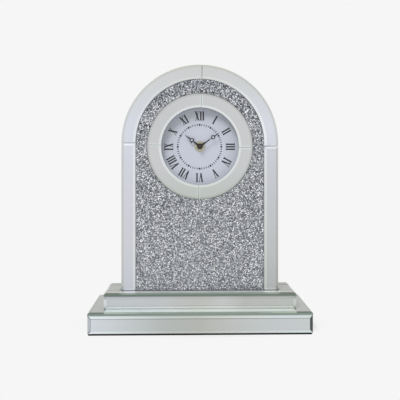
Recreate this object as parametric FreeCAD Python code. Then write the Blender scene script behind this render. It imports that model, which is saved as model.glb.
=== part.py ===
import FreeCAD, Part
import math
import os

# Mirrored beehive shelf clock, in millimetres.
# X runs to the right, Y to the back and Z up. The origin is the middle of the underside.
# A round-topped upright, faced with crushed glass inside a frame of bevelled mirror strips,
# stands on a plinth of two mirrored tiers. A quartz movement sits in a cavity open at the back.

V = FreeCAD.Vector
ALONG_X = V(1, 0, 0)
ALONG_Y = V(0, 1, 0)
ALONG_Z = V(0, 0, 1)

# Plinth
side_margin = 22.0
face_margin = 17.8
pad_thickness = 1.7
pad_inset = 0.6
pad_corner = 2.5
lower_tier_height = 28.4
upper_tier_height = 21.5
tier_step = 19.0
top_glass = 4.0
top_bevel = 3.0
top_bevel_drop = 1.5
strip_glass = 3.0
strip_bevel = 4.4
strip_bevel_drop = 1.3

# Upright, from its face to its back: mirror glass, a thick body and a thin back board
upright_height = 313.4
frame_glass = 4.0
body_board = 28.4
back_board = 6.0
frame_width = 19.5
field_margin = 16.2
frame_bevel = 3.2
frame_bevel_drop = 1.4
joint_gap = 0.3
left_joint_drop = 0.0
right_joint_drop = 4.4
crown_joint_shift = 3.0
glass_bed = 3.4
glass_bed_gap = 0.3

# Dial and its ring of four mirror quarters
dial_drop = 4.4
bezel_inner_radius = 54.0
bezel_width = 19.3
bezel_bevel = 3.0
bezel_bevel_drop = 1.4
bezel_turn = -1.6
bezel_overhang = 0.6
dial_recess = 6.0
dial_plate_thickness = 1.0
dial_plate_gap = 0.3
web = 4.0

# Movement case and its rear cover
case_depth = 17.0
case_wall = 1.5
case_corner = 2.0
cavity_margin = 10.0
cavity_corner = 6.0
back_opening_lip = 2.0
bay_wall = 1.0
divider = 1.0
notch_width = 22.0
notch_depth = 6.0

# Threaded bush of the case, with the flanged nut on it
bush_radius = 3.9
bush_bore_gap = 0.1
bush_hole_gap = 0.1
nut_flange = 0.5
nut_flange_radius = 7.5
nut_flats = 11.0
nut_thickness = 1.8
bush_proud = 0.4

# Hands, hung on the pipe and the arbor
hand_thickness = 0.45
hour_hand_gap = 0.5
hand_spacing = 1.0
hour_hub_radius = 3.6
minute_hub_radius = 3.3
hand_nut_radius = 2.7
hand_nut_height = 1.3
hand_nut_skin = 0.3
hand_fit = 0.03
hand_tip_width = 0.3
minute_hand_angle = 55.3
hour_hand_angle = 307.1
minute_hand_length = 32.8
minute_root_width = 3.6
minute_waist_width = 1.2
minute_knuckle_at = 14.9
minute_knuckle_width = 2.3
minute_knuckle_height = 2.6
minute_stem_width = 0.9
minute_eye_at = 22.4
minute_eye_radius = 3.0
minute_eye_rim = 1.35
minute_spear_width = 2.0
hour_hand_length = 26.4
hour_root_width = 3.8
hour_waist_width = 1.9
hour_knuckle_at = 8.9
hour_knuckle_width = 3.6
hour_knuckle_height = 1.9
knuckle_flat_share = 0.35
hour_neck_width = 1.1
hour_eye_at = 14.4
hour_eye_radius = 3.0
hour_eye_rim = 1.3
hour_barb_back = 2.9
hour_barb_spread = 3.7
hour_barb_inner = 1.7
hour_spear_width = 2.3
hour_spear_shoulder = 4.0

# Gears. Teeth are straight-sided and pointed, with play so that a pair never binds.
wheel_module = 0.4
gear_thickness = 1.0
plane_gap = 0.3
pinion_teeth = 6
rotor_pinion_teeth = 6
centre_wheel_teeth = 48
third_wheel_teeth = 45
seconds_wheel_teeth = 36
intermediate_wheel_teeth = 30
cannon_teeth = 10
motion_wheel_teeth = 30
motion_pinion_teeth = 8
hour_wheel_teeth = 32
setting_teeth = 10
pinion_addendum_share = 0.7
pinion_dedendum_share = 1.4
wheel_addendum_share = 0.8
wheel_dedendum_share = 1.5
third_bearing = 150.0
seconds_bearing = 60.0
intermediate_bearing = 0.0
rotor_bearing = 0.0
motion_bearing = 0.0
setting_bearing = -30.0

# Shafts and their bearings
arbor_radius = 0.5
bearing_gap = 0.06
pivot_depth = 1.1
bearing_sides = 6
end_shake = 0.2
pipe_radius = 2.5
minute_shaft_radius = 1.4
pipe_bore_gap = 0.08
clutch_radius = 1.0
motion_post_radius = 0.7
setting_arbor_radius = 1.4
setting_pivot_radius = 0.7

# Motor: rotor, stator, coil and its core
magnet_radius = 3.1
magnet_length = 2.5
magnet_air_gap = 0.4
stator_thickness = 1.2
stator_ring = 1.9
stator_sides = 8
stator_leg_width = 3.4
stator_wall_gap = 1.95
stator_post_back = 4.6
coil_wall_distance = 3.95
coil_core_width = 2.4
coil_radius = 2.0
coil_cheek_half = 2.2
coil_cheek = 0.8
coil_bore_gap = 0.1
post_width = 2.4

# Circuit board with its crystal
pcb_width = 10.5
pcb_thickness = 0.8
pcb_side_gap = 0.8
pcb_top_gap = 1.6
pcb_bottom_gap = 3.1
pcb_post_inset = 2.4
pcb_level = 9.2
chip_size = 4.6
chip_height = 0.9
crystal_radius = 1.0
crystal_length = 6.0

# Setting knob
knob_radius = 6.2
knob_height = 3.5
knob_gap = 0.5
knob_ribs = 14
knob_rib_depth = 0.7
knob_bore_depth = 2.5

# AA cell and its contacts
cell_radius = 7.1
cell_length = 50.5
cell_nub_radius = 2.75
cell_nub_height = 1.0
cell_gap = 0.3
contact_thickness = 0.3
contact_width = 9.0
contact_touch_gap = 0.1
contact_reach = 1.15
contact_leaf_half = 2.0
contact_leaf_rise = 3.0
contact_tail = 9.0
contact_tail_width = 3.0
contact_slot_gap = 0.1

# Overrun of every cutting tool beyond what it cuts
overrun = 1.0
parallel_limit = 1e-6

# Plan of the upright, outwards from the dial
bezel_outer_radius = bezel_inner_radius + bezel_width
dial_hole_radius = bezel_inner_radius + bezel_overhang
field_radius = bezel_outer_radius + field_margin
half_width = field_radius + frame_width

# Plan of the plinth: each tier stands out all round from what is on it
upright_depth = frame_glass + body_board + back_board
upper_width = 2 * (half_width + side_margin)
upper_depth = upright_depth + 2 * face_margin
base_width = upper_width + 2 * tier_step
base_depth = upper_depth + 2 * tier_step

# Levels of the plinth, upwards
lower_bottom_z = pad_thickness
lower_top_z = lower_bottom_z + lower_tier_height
upper_top_z = lower_top_z + upper_tier_height
lower_core_top_z = lower_top_z - top_glass
upper_core_top_z = upper_top_z - top_glass

# Levels of the upright, front to back
face_y = -upright_depth / 2
board_y = face_y + frame_glass
dial_face_y = board_y + dial_recess
dial_back_y = dial_face_y + dial_plate_thickness
web_back_y = dial_back_y + web
body_back_y = board_y + body_board
back_y = upright_depth / 2
arch_z = upper_top_z + upright_height - half_width
dial_z = arch_z - dial_drop

# Levels of the movement, front to back
case_front_y = web_back_y
case_back_y = case_front_y + case_depth
case_inside_y = case_front_y + case_wall
cover_inside_y = case_back_y - case_wall
plane_step = gear_thickness + plane_gap
hour_plane_y = case_inside_y + plane_gap
motion_plane_y = hour_plane_y + plane_step
centre_plane_y = motion_plane_y + plane_step
third_plane_y = centre_plane_y + plane_step
seconds_plane_y = third_plane_y + plane_step
intermediate_plane_y = seconds_plane_y + plane_step
magnet_y = intermediate_plane_y + plane_step
stator_y = magnet_y + (magnet_length - stator_thickness) / 2
coil_core_y = stator_y + stator_thickness
works_half = cell_length / 2 + contact_touch_gap + contact_reach
half_case = works_half + case_wall

# Levels of the hands, back to front
nut_flange_y = dial_face_y - nut_flange
nut_front_y = nut_flange_y - nut_thickness
bush_front_y = nut_front_y - bush_proud
hour_hand_y = bush_front_y - hour_hand_gap - hand_thickness
minute_hand_y = hour_hand_y - hand_spacing - hand_thickness
pipe_front_y = hour_hand_y - hand_thickness
bush_bore = pipe_radius + bush_bore_gap
pipe_bore = minute_shaft_radius + pipe_bore_gap

# Battery bay, along the bottom of the case
bay_bottom = -half_case + bay_wall
bay_top = bay_bottom + 2 * (cell_radius + cell_gap)
cell_at = (bay_bottom + bay_top) / 2
cell_y = case_inside_y + cell_gap + cell_radius
works_bottom = bay_top + divider


def away(point, distance, degrees):
    """A point in the plane of the dial, at a distance and an angle from another."""
    angle = math.radians(degrees)
    return (point[0] + distance * math.cos(angle), point[1] + distance * math.sin(angle))


def polygon(at, inner_radius, sides):
    """Corners of a regular polygon round a circle that touches all its sides."""
    corner_radius = inner_radius / math.cos(math.pi / sides)
    return [away(at, corner_radius, corner * 360 / sides) for corner in range(sides)]


def pair_distance(teeth_a, teeth_b):
    """Distance between the centres of two gears in mesh."""
    return (teeth_a + teeth_b) * wheel_module / 2


# Centres of the arbors, measured from the dial's centre
centre_at = (0, 0)
third_at = away(centre_at, pair_distance(centre_wheel_teeth, pinion_teeth), third_bearing)
seconds_at = away(third_at, pair_distance(third_wheel_teeth, pinion_teeth), seconds_bearing)
intermediate_at = away(seconds_at, pair_distance(seconds_wheel_teeth, pinion_teeth), intermediate_bearing)
rotor_at = away(intermediate_at, pair_distance(intermediate_wheel_teeth, rotor_pinion_teeth), rotor_bearing)
motion_at = away(centre_at, pair_distance(cannon_teeth, motion_wheel_teeth), motion_bearing)
setting_at = away(motion_at, pair_distance(motion_wheel_teeth, setting_teeth), setting_bearing)
hour_module = 2 * pair_distance(cannon_teeth, motion_wheel_teeth) / (motion_pinion_teeth + hour_wheel_teeth)
coil_x = works_half - coil_wall_distance
stator_span = works_half - stator_wall_gap - rotor_at[1]


# Basic solids

def box(x0, x1, y0, y1, z0, z1):
    return Part.makeBox(x1 - x0, y1 - y0, z1 - z0, V(x0, y0, z0))


def rod_x(radius, x0, x1, y, z):
    return Part.makeCylinder(radius, x1 - x0, V(x0, y, z), ALONG_X)


def rod_y(radius, y0, y1, at=(0, 0)):
    return Part.makeCylinder(radius, y1 - y0, V(at[0], y0, at[1]), ALONG_Y)


def rod_z(radius, z0, z1, x, y):
    return Part.makeCylinder(radius, z1 - z0, V(x, y, z0), ALONG_Z)


def ring_y(outer, inner, y0, y1, at=(0, 0)):
    return rod_y(outer, y0, y1, at).cut(rod_y(inner, y0 - overrun, y1 + overrun, at))


def prism_y(points, y0, y1):
    """A flat outline in the plane of the dial, given as (x, z), with a thickness."""
    corners = [V(x, y0, z) for x, z in points]
    return Part.Face(Part.makePolygon(corners + corners[:1])).extrude(V(0, y1 - y0, 0))


def bar(width_a, width_b, z0, z1, y0, y1):
    """An upright bar that tapers from one width to another."""
    points = [(-width_a / 2, z0), (width_a / 2, z0), (width_b / 2, z1), (-width_b / 2, z1)]
    return prism_y(points, y0, y1)


def block_y(half_x, z0, z1, y0, y1, corner):
    """A block with its four edges along Y rounded."""
    solid = box(-half_x, half_x, y0, y1, z0, z1)
    edges = [edge for edge in solid.Edges if edge_runs_along(edge, ALONG_Y)]
    return solid.makeFillet(corner, edges)


def edge_runs_along(edge, direction):
    start, end = [vertex.Point for vertex in edge.Vertexes]
    return (end - start).normalize().cross(direction).Length < parallel_limit


def fuse(first, *others):
    return first.fuse(list(others)).removeSplitter()


def cut(solid, *tools):
    return solid.cut(list(tools))


def move(solid, x=0, y=0, z=0):
    solid.translate(V(x, y, z))
    return solid


def turn(solid, axis, degrees, about=V(0, 0, 0)):
    solid.rotate(about, axis, degrees)
    return solid


def at_dial(solid):
    """Carries a solid from the dial's own frame to its place."""
    return move(solid, z=dial_z)


# Bevelled glass

def bevel_tool(length, glass, bevel, drop):
    """Takes the bevel off one edge: the glass lies above Z 0, its face at Y minus its thickness."""
    reach = V(0, drop, -bevel)
    top = V(0, -glass, bevel)
    low = top + reach + reach
    high = top - reach
    corner = V(0, high.y, low.z)
    tool = Part.Face(Part.makePolygon([high, low, corner, high])).extrude(V(length, 0, 0))
    return move(tool, x=-length / 2)


def glass_plate(width, height, glass, bevel, drop):
    """A plate that faces the front, its back at Y 0, centred, with a bevel all round."""
    plate = box(-width / 2, width / 2, -glass, 0, -height / 2, height / 2)
    tools = []
    for side in range(4):
        span = (width, height)[side % 2]
        reach = (height, width)[side % 2] / 2
        tool = move(bevel_tool(span + 2 * overrun, glass, bevel, drop), z=-reach)
        tools.append(turn(tool, ALONG_Y, 90 * side))
    return cut(plate, *tools)


def glass_arc(inner, outer, start, end, glass, bevel, drop):
    """A curved strip between two angles, counted from the right-hand side and upwards."""
    profile = [V(inner, 0, 0), V(inner, drop - glass, 0), V(inner + bevel, -glass, 0)]
    profile += [V(outer - bevel, -glass, 0), V(outer, drop - glass, 0), V(outer, 0, 0)]
    face = Part.Face(Part.makePolygon(profile + profile[:1]))
    strip = turn(face.revolve(V(0, 0, 0), -ALONG_Y, end - start), -ALONG_Y, start)
    length = outer - inner + 2 * overrun
    middle = (inner + outer) / 2
    first = move(bevel_tool(length, glass, bevel, drop), x=middle)
    last = move(turn(bevel_tool(length, glass, bevel, drop), ALONG_Y, 180), x=middle)
    return cut(strip, turn(first, -ALONG_Y, start), turn(last, -ALONG_Y, end))


def gap_angle(radius):
    """Half of the gap at a joint, as an angle on a circle."""
    return math.degrees(joint_gap / 2 / radius)


# Plinth

def base_pad():
    half_x = base_width / 2 - pad_inset
    half_y = base_depth / 2 - pad_inset
    pad = box(-half_x, half_x, -half_y, half_y, 0, pad_thickness)
    return pad.makeFillet(pad_corner, [edge for edge in pad.Edges if edge_runs_along(edge, ALONG_Z)])


def tier_core(width, depth, z0, z1):
    """A board behind the front strip and between the side strips, open to the back."""
    half_x = width / 2 - strip_glass
    return box(-half_x, half_x, strip_glass - depth / 2, depth / 2, z0, z1)


def lower_core():
    return tier_core(base_width, base_depth, lower_bottom_z, lower_core_top_z)


def upper_core():
    return tier_core(upper_width, upper_depth, lower_top_z, upper_core_top_z)


def tier_front(width, depth, z0, z1):
    plate = glass_plate(width, z1 - z0, strip_glass, strip_bevel, strip_bevel_drop)
    return move(plate, y=strip_glass - depth / 2, z=(z0 + z1) / 2)


def tier_side(side, width, depth, z0, z1):
    """A strip behind the end of the front strip; side is -1 at the left and 1 at the right."""
    plate = glass_plate(depth - strip_glass, z1 - z0, strip_glass, strip_bevel, strip_bevel_drop)
    turn(plate, ALONG_Z, 90 * side)
    return move(plate, x=side * (width / 2 - strip_glass), y=strip_glass / 2, z=(z0 + z1) / 2)


def top_plate(width, depth, z, x=0, y=0):
    plate = turn(glass_plate(width, depth, top_glass, top_bevel, top_bevel_drop), ALONG_X, -90)
    return move(plate, x=x, y=y, z=z)


def upper_top_long(side):
    """The strip in front of the upright, or the one behind it."""
    depth = (upper_depth - upright_depth) / 2
    return top_plate(upper_width, depth, upper_core_top_z, y=side * (upper_depth - depth) / 2)


def upper_top_short(side):
    """The piece at one end, between the two long strips and beside the upright."""
    width = (upper_width - 2 * half_width) / 2
    return top_plate(width, upright_depth, upper_core_top_z, x=side * (upper_width - width) / 2)


def arch_board(radius, z0, y0, y1):
    """A board with square feet and a round top, whose half width is the radius."""
    corners = [V(-radius, y0, arch_z), V(-radius, y0, z0), V(radius, y0, z0), V(radius, y0, arch_z)]
    edges = [Part.LineSegment(a, b).toShape() for a, b in zip(corners, corners[1:])]
    edges.append(Part.Arc(corners[3], V(0, y0, arch_z + radius), corners[0]).toShape())
    return Part.Face(Part.Wire(edges)).extrude(V(0, y1 - y0, 0))


def arch_body():
    """Open to a recess for the dial at the front and to a cavity for the movement at the back."""
    board = arch_board(half_width, upper_core_top_z, board_y, body_back_y)
    recess = rod_y(dial_hole_radius, board_y - overrun, dial_back_y)
    hole = rod_y(bush_radius + bush_hole_gap, dial_face_y, web_back_y + overrun)
    half = half_case + cavity_margin
    cavity = box(-half, half, web_back_y, body_back_y + overrun, -half, half)
    return cut(board, at_dial(recess), at_dial(hole), at_dial(cavity))


def arch_back_board():
    board = arch_board(half_width, upper_core_top_z, body_back_y, back_y)
    half = half_case + cavity_margin - back_opening_lip
    corner = cavity_corner - back_opening_lip
    opening = block_y(half, -half, half, body_back_y - overrun, back_y + overrun, corner)
    return cut(board, at_dial(opening))


def side_mirror(side, joint_drop):
    height = arch_z - joint_drop - joint_gap / 2 - upper_top_z
    plate = glass_plate(frame_width, height, frame_glass, frame_bevel, frame_bevel_drop)
    return move(plate, x=side * (half_width - frame_width / 2), y=board_y, z=upper_top_z + height / 2)


def arch_mirror(start, end):
    gap = gap_angle(half_width)
    start, end = start + gap, end - gap
    arc = glass_arc(field_radius, half_width, start, end, frame_glass, frame_bevel, frame_bevel_drop)
    return move(arc, y=board_y, z=arch_z)


def drop_angle(drop):
    return math.degrees(math.asin(drop / half_width))


def bezel_mirror(quarter):
    """One quarter of the ring around the dial, counted from the upper right."""
    gap = gap_angle(bezel_outer_radius)
    start = 90 * quarter + bezel_turn
    arc = glass_arc(bezel_inner_radius, bezel_outer_radius, start + gap, start + 90 - gap,
                    frame_glass, bezel_bevel, bezel_bevel_drop)
    return at_dial(move(arc, y=board_y))


def crushed_glass_panel():
    bed_y = board_y - glass_bed
    bed = arch_board(field_radius - glass_bed_gap, upper_top_z, bed_y, board_y)
    return cut(bed, at_dial(rod_y(bezel_outer_radius + glass_bed_gap, bed_y - overrun, board_y + overrun)))


# Dial and what clamps the movement to it

def dial_plate():
    radius = dial_hole_radius - dial_plate_gap
    return at_dial(ring_y(radius, bush_radius + bush_hole_gap, dial_face_y, dial_back_y))


def fixing_nut():
    nut = prism_y(polygon(centre_at, nut_flats / 2, 6), nut_front_y, nut_flange_y)
    flange = rod_y(nut_flange_radius, nut_flange_y, dial_face_y)
    bore = rod_y(bush_radius + bush_hole_gap, nut_front_y - overrun, dial_face_y + overrun)
    return at_dial(cut(fuse(nut, flange), bore))


# Hands, made pointing at twelve and then turned to the time shown

def finished_hand(pieces, bore, y, angle):
    hand = cut(fuse(*pieces), rod_y(bore, y - overrun, y + hand_thickness + overrun))
    return at_dial(turn(hand, ALONG_Y, angle))


def knuckle(width, height, z, y0, y1):
    """A six-sided lozenge across a hand."""
    half_x, half_z = width / 2, height / 2
    flat = half_x * knuckle_flat_share
    points = [(-half_x, z), (-flat, z + half_z), (flat, z + half_z)]
    points += [(half_x, z), (flat, z - half_z), (-flat, z - half_z)]
    return prism_y(points, y0, y1)


def minute_hand():
    y0 = minute_hand_y
    y1 = y0 + hand_thickness
    eye_bottom = minute_eye_at - minute_eye_radius + minute_eye_rim / 2
    eye_top = minute_eye_at + minute_eye_radius - minute_eye_rim / 2
    eye_hole = minute_eye_radius - minute_eye_rim
    pieces = [rod_y(minute_hub_radius, y0, y1)]
    pieces.append(bar(minute_root_width, minute_waist_width, 0, minute_knuckle_at, y0, y1))
    pieces.append(knuckle(minute_knuckle_width, minute_knuckle_height, minute_knuckle_at, y0, y1))
    pieces.append(bar(minute_waist_width, minute_stem_width, minute_knuckle_at, eye_bottom, y0, y1))
    pieces.append(ring_y(minute_eye_radius, eye_hole, y0, y1, (0, minute_eye_at)))
    pieces.append(bar(minute_spear_width, hand_tip_width, eye_top, minute_hand_length, y0, y1))
    return finished_hand(pieces, minute_shaft_radius + hand_fit, y0, minute_hand_angle)


def hour_hand():
    y0 = hour_hand_y
    y1 = y0 + hand_thickness
    eye_bottom = hour_eye_at - hour_eye_radius + hour_eye_rim / 2
    eye_top = hour_eye_at + hour_eye_radius - hour_eye_rim / 2
    eye_hole = hour_eye_radius - hour_eye_rim
    shoulder = hour_eye_at + hour_spear_shoulder
    pieces = [rod_y(hour_hub_radius, y0, y1)]
    pieces.append(bar(hour_root_width, hour_waist_width, 0, hour_knuckle_at, y0, y1))
    pieces.append(knuckle(hour_knuckle_width, hour_knuckle_height, hour_knuckle_at, y0, y1))
    pieces.append(bar(hour_waist_width, hour_neck_width, hour_knuckle_at, eye_bottom, y0, y1))
    pieces.append(ring_y(hour_eye_radius, eye_hole, y0, y1, (0, hour_eye_at)))
    for side in (-1, 1):
        tip = (side * hour_barb_spread, hour_eye_at - hour_barb_back)
        inner = (side * hour_barb_inner, hour_eye_at - hour_barb_back + hour_eye_rim / 2)
        pieces.append(prism_y([inner, tip, (side * hour_eye_radius, hour_eye_at)], y0, y1))
    pieces.append(bar(hour_neck_width, hour_spear_width, eye_top, shoulder, y0, y1))
    pieces.append(bar(hour_spear_width, hand_tip_width, shoulder, hour_hand_length, y0, y1))
    return finished_hand(pieces, pipe_radius + hand_fit, y0, hour_hand_angle)


def hand_nut():
    nut_y = minute_hand_y - hand_nut_height
    nut = rod_y(hand_nut_radius, nut_y, minute_hand_y)
    sides = polygon(centre_at, minute_shaft_radius + hand_fit, bearing_sides)
    return at_dial(cut(nut, prism_y(sides, nut_y + hand_nut_skin, minute_hand_y + overrun)))


# Gears

def mesh_phase(bearing, teeth_a, phase_a, teeth_b):
    """Where gear b starts, so that its gap meets a tooth of gear a; b lies at the bearing from a."""
    past_tooth = (bearing - phase_a) * teeth_a / 360
    return bearing + 180 - (0.5 - past_tooth) * 360 / teeth_b


def gear(teeth, module, y, at, phase, is_pinion):
    """A pinion reaches back to the wheel behind it."""
    thickness = gear_thickness
    if is_pinion:
        thickness += plane_gap
        addendum, dedendum = pinion_addendum_share, pinion_dedendum_share
    else:
        addendum, dedendum = wheel_addendum_share, wheel_dedendum_share
    tip = teeth * module / 2 + addendum * module
    root = teeth * module / 2 - dedendum * module
    points = []
    for tooth in range(teeth):
        angle = phase + tooth * 360 / teeth
        points.append(away(at, root, angle - 180 / teeth))
        points.append(away(at, tip, angle))
    return prism_y(points, y, y + thickness)


def wheel(teeth, y, at, phase):
    return gear(teeth, wheel_module, y, at, phase, False)


def pinion(teeth, y, at, phase):
    return gear(teeth, wheel_module, y, at, phase, True)


third_phase = mesh_phase(third_bearing, centre_wheel_teeth, 0, pinion_teeth)
seconds_phase = mesh_phase(seconds_bearing, third_wheel_teeth, 0, pinion_teeth)
intermediate_phase = mesh_phase(intermediate_bearing, seconds_wheel_teeth, 0, pinion_teeth)
rotor_phase = mesh_phase(rotor_bearing, intermediate_wheel_teeth, 0, rotor_pinion_teeth)
motion_phase = mesh_phase(motion_bearing, cannon_teeth, 0, motion_wheel_teeth)
setting_phase = mesh_phase(setting_bearing, motion_wheel_teeth, motion_phase, setting_teeth)
hour_phase = mesh_phase(motion_bearing + 180, motion_pinion_teeth, 0, hour_wheel_teeth)

# The arbors turn in blind holes in the front wall of the case and in its cover
arbor_front_y = case_inside_y - pivot_depth + end_shake
arbor_rear_y = cover_inside_y + pivot_depth - end_shake


def train_arbor(at):
    return rod_y(arbor_radius, arbor_front_y, arbor_rear_y, at)


def centre_wheel():
    wheel_solid = wheel(centre_wheel_teeth, centre_plane_y, centre_at, 0)
    wheel_back_y = centre_plane_y + gear_thickness
    bore = rod_y(clutch_radius + bearing_gap, centre_plane_y - overrun, wheel_back_y + overrun)
    return at_dial(cut(wheel_solid, bore))


def third_wheel():
    wheel_solid = wheel(third_wheel_teeth, third_plane_y, third_at, 0)
    pinion_solid = pinion(pinion_teeth, centre_plane_y, third_at, third_phase)
    return at_dial(fuse(wheel_solid, pinion_solid, train_arbor(third_at)))


def seconds_wheel():
    wheel_solid = wheel(seconds_wheel_teeth, seconds_plane_y, seconds_at, 0)
    pinion_solid = pinion(pinion_teeth, third_plane_y, seconds_at, seconds_phase)
    return at_dial(fuse(wheel_solid, pinion_solid, train_arbor(seconds_at)))


def intermediate_wheel():
    wheel_solid = wheel(intermediate_wheel_teeth, intermediate_plane_y, intermediate_at, 0)
    pinion_solid = pinion(pinion_teeth, seconds_plane_y, intermediate_at, intermediate_phase)
    return at_dial(fuse(wheel_solid, pinion_solid, train_arbor(intermediate_at)))


def rotor():
    """A ring magnet moulded to its arbor and pinion."""
    pinion_solid = pinion(rotor_pinion_teeth, intermediate_plane_y, rotor_at, rotor_phase)
    magnet = rod_y(magnet_radius, magnet_y, magnet_y + magnet_length, rotor_at)
    return at_dial(fuse(pinion_solid, magnet, train_arbor(rotor_at)))


def minute_arbor():
    """Hand seat, cannon pinion and rear pivot in one; the centre wheel grips the thin part."""
    pinion_back_y = motion_plane_y + gear_thickness
    front_y = minute_hand_y - hand_nut_height + hand_nut_skin + hand_fit
    shaft = rod_y(minute_shaft_radius, front_y, pinion_back_y)
    pivot = rod_y(clutch_radius, pinion_back_y, arbor_rear_y)
    return at_dial(fuse(shaft, pinion(cannon_teeth, motion_plane_y, centre_at, 0), pivot))


def motion_wheel():
    wheel_solid = wheel(motion_wheel_teeth, motion_plane_y, motion_at, motion_phase)
    pinion_solid = gear(motion_pinion_teeth, hour_module, hour_plane_y, motion_at, 0, True)
    bore = rod_y(motion_post_radius + bearing_gap, hour_plane_y - overrun, centre_plane_y, motion_at)
    return at_dial(cut(fuse(wheel_solid, pinion_solid), bore))


def hour_wheel():
    wheel_solid = gear(hour_wheel_teeth, hour_module, hour_plane_y, centre_at, hour_phase, False)
    wheel_back_y = hour_plane_y + gear_thickness
    pipe = rod_y(pipe_radius, pipe_front_y, wheel_back_y)
    bore = rod_y(pipe_bore, pipe_front_y - overrun, wheel_back_y + overrun)
    return at_dial(cut(fuse(wheel_solid, pipe), bore))


def setting_pinion():
    pinion_back_y = motion_plane_y + gear_thickness
    pinion_solid = pinion(setting_teeth, motion_plane_y, setting_at, setting_phase)
    pivot = rod_y(setting_pivot_radius, arbor_front_y, motion_plane_y, setting_at)
    end_y = case_back_y + knob_gap + knob_bore_depth - end_shake
    return at_dial(fuse(pinion_solid, pivot, rod_y(setting_arbor_radius, pinion_back_y, end_y, setting_at)))


def setting_knob():
    """A ribbed knob pressed on the end of the setting arbor."""
    knob_y = case_back_y + knob_gap
    points = []
    for rib in range(2 * knob_ribs):
        radius = knob_radius - knob_rib_depth * (rib % 2)
        points.append(away(setting_at, radius, rib * 180 / knob_ribs))
    knob = prism_y(points, knob_y, knob_y + knob_height)
    sides = polygon(setting_at, setting_arbor_radius + hand_fit, bearing_sides)
    bore = prism_y(sides, knob_y - overrun, knob_y + knob_bore_depth)
    return at_dial(cut(knob, bore))


# Motor and electronics

def stator():
    ring_radius = magnet_radius + magnet_air_gap + stator_ring
    hole_radius = magnet_radius + magnet_air_gap
    y0, y1 = stator_y, stator_y + stator_thickness
    x, z = rotor_at
    pieces = [prism_y(polygon(rotor_at, ring_radius, stator_sides), y0, y1)]
    for side in (-1, 1):
        near = sorted((z + side * hole_radius, z + side * stator_span))
        pieces.append(box(x - stator_leg_width / 2, x + stator_leg_width / 2, y0, y1, *near))
        arm = sorted((z + side * (stator_span - stator_leg_width), z + side * stator_span))
        pieces.append(box(x - stator_leg_width / 2, coil_x + coil_core_width / 2, y0, y1, *arm))
    return at_dial(cut(fuse(*pieces), rod_y(hole_radius, y0 - overrun, y1 + overrun, rotor_at)))


def coil_core():
    half = coil_core_width / 2
    z = rotor_at[1]
    bar_solid = box(coil_x - half, coil_x + half, coil_core_y, coil_core_y + stator_thickness,
                    z - stator_span, z + stator_span)
    return at_dial(bar_solid)


def coil():
    """A winding between two cheeks, around the core and between the stator's arms."""
    y = coil_core_y + stator_thickness / 2
    half_length = stator_span - stator_leg_width - coil_bore_gap
    z0, z1 = rotor_at[1] - half_length, rotor_at[1] + half_length
    cheek_x = (coil_x - coil_cheek_half, coil_x + coil_cheek_half)
    cheek_y = (y - coil_cheek_half, y + coil_cheek_half)
    pieces = [rod_z(coil_radius, z0, z1, coil_x, y)]
    pieces.append(box(*cheek_x, *cheek_y, z0, z0 + coil_cheek))
    pieces.append(box(*cheek_x, *cheek_y, z1 - coil_cheek, z1))
    half_x = coil_core_width / 2 + coil_bore_gap
    half_y = stator_thickness / 2 + coil_bore_gap
    bore = box(coil_x - half_x, coil_x + half_x, y - half_y, y + half_y, z0 - overrun, z1 + overrun)
    return at_dial(cut(fuse(*pieces), bore))


def post(at, top_y):
    """A square post on the front wall of the case."""
    half = post_width / 2
    return box(at[0] - half, at[0] + half, case_inside_y, top_y, at[1] - half, at[1] + half)


def stator_posts():
    middle = stator_span - stator_leg_width / 2
    x = coil_x - stator_post_back
    return [post((x, rotor_at[1] + side * middle), stator_y) for side in (-1, 1)]


pcb_y = case_inside_y + pcb_level
pcb_left = pcb_side_gap - works_half
pcb_top = works_half - pcb_top_gap
pcb_bottom = works_bottom + pcb_bottom_gap
pcb_middle = pcb_left + pcb_width / 2


def pcb_posts():
    heights = (pcb_top - pcb_post_inset, pcb_bottom + pcb_post_inset)
    return [post((pcb_left + pcb_post_inset, z), pcb_y) for z in heights]


def circuit_board():
    pcb_face_y = pcb_y + pcb_thickness
    board = box(pcb_left, pcb_left + pcb_width, pcb_y, pcb_face_y, pcb_bottom, pcb_top)
    chip_x = pcb_middle - chip_size / 2
    chip_z = (pcb_bottom + pcb_top - chip_size) / 2
    chip = box(chip_x, chip_x + chip_size, pcb_face_y, pcb_face_y + chip_height, chip_z, chip_z + chip_size)
    return at_dial(fuse(board, chip))


def quartz_crystal():
    y = pcb_y + pcb_thickness + crystal_radius
    z1 = pcb_top - crystal_length / 2
    return at_dial(rod_z(crystal_radius, z1 - crystal_length, z1, pcb_middle, y))


# Movement case

train_centres = (third_at, seconds_at, intermediate_at, rotor_at)


def case_block(z0, y0, y1):
    """A block as wide as the case, with its corners taken off."""
    solid = box(-half_case, half_case, y0, y1, z0, half_case)
    return solid.makeChamfer(case_corner, [edge for edge in solid.Edges if edge_runs_along(edge, ALONG_Y)])


def pivot_hole(at, shaft_radius, wall_y, inward):
    """A blind hole in a wall's inner face; inward is -1 in the front wall and 1 in the cover.

    It has six sides, so the round pivot in it rides on six lines.
    """
    y0, y1 = sorted((wall_y - inward * overrun, wall_y + inward * pivot_depth))
    return prism_y(polygon(at, shaft_radius + bearing_gap, bearing_sides), y0, y1)


def contact_slot(side):
    """The slit in the wall over the battery bay, for a contact's tail."""
    reach = contact_thickness + contact_slot_gap
    edges = sorted((side * works_half, side * (works_half - reach)))
    half_width_y = contact_tail_width / 2 + contact_slot_gap
    depths = (cell_y - half_width_y, cell_y + half_width_y)
    return box(*edges, *depths, bay_top - overrun, works_bottom + overrun)


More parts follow.
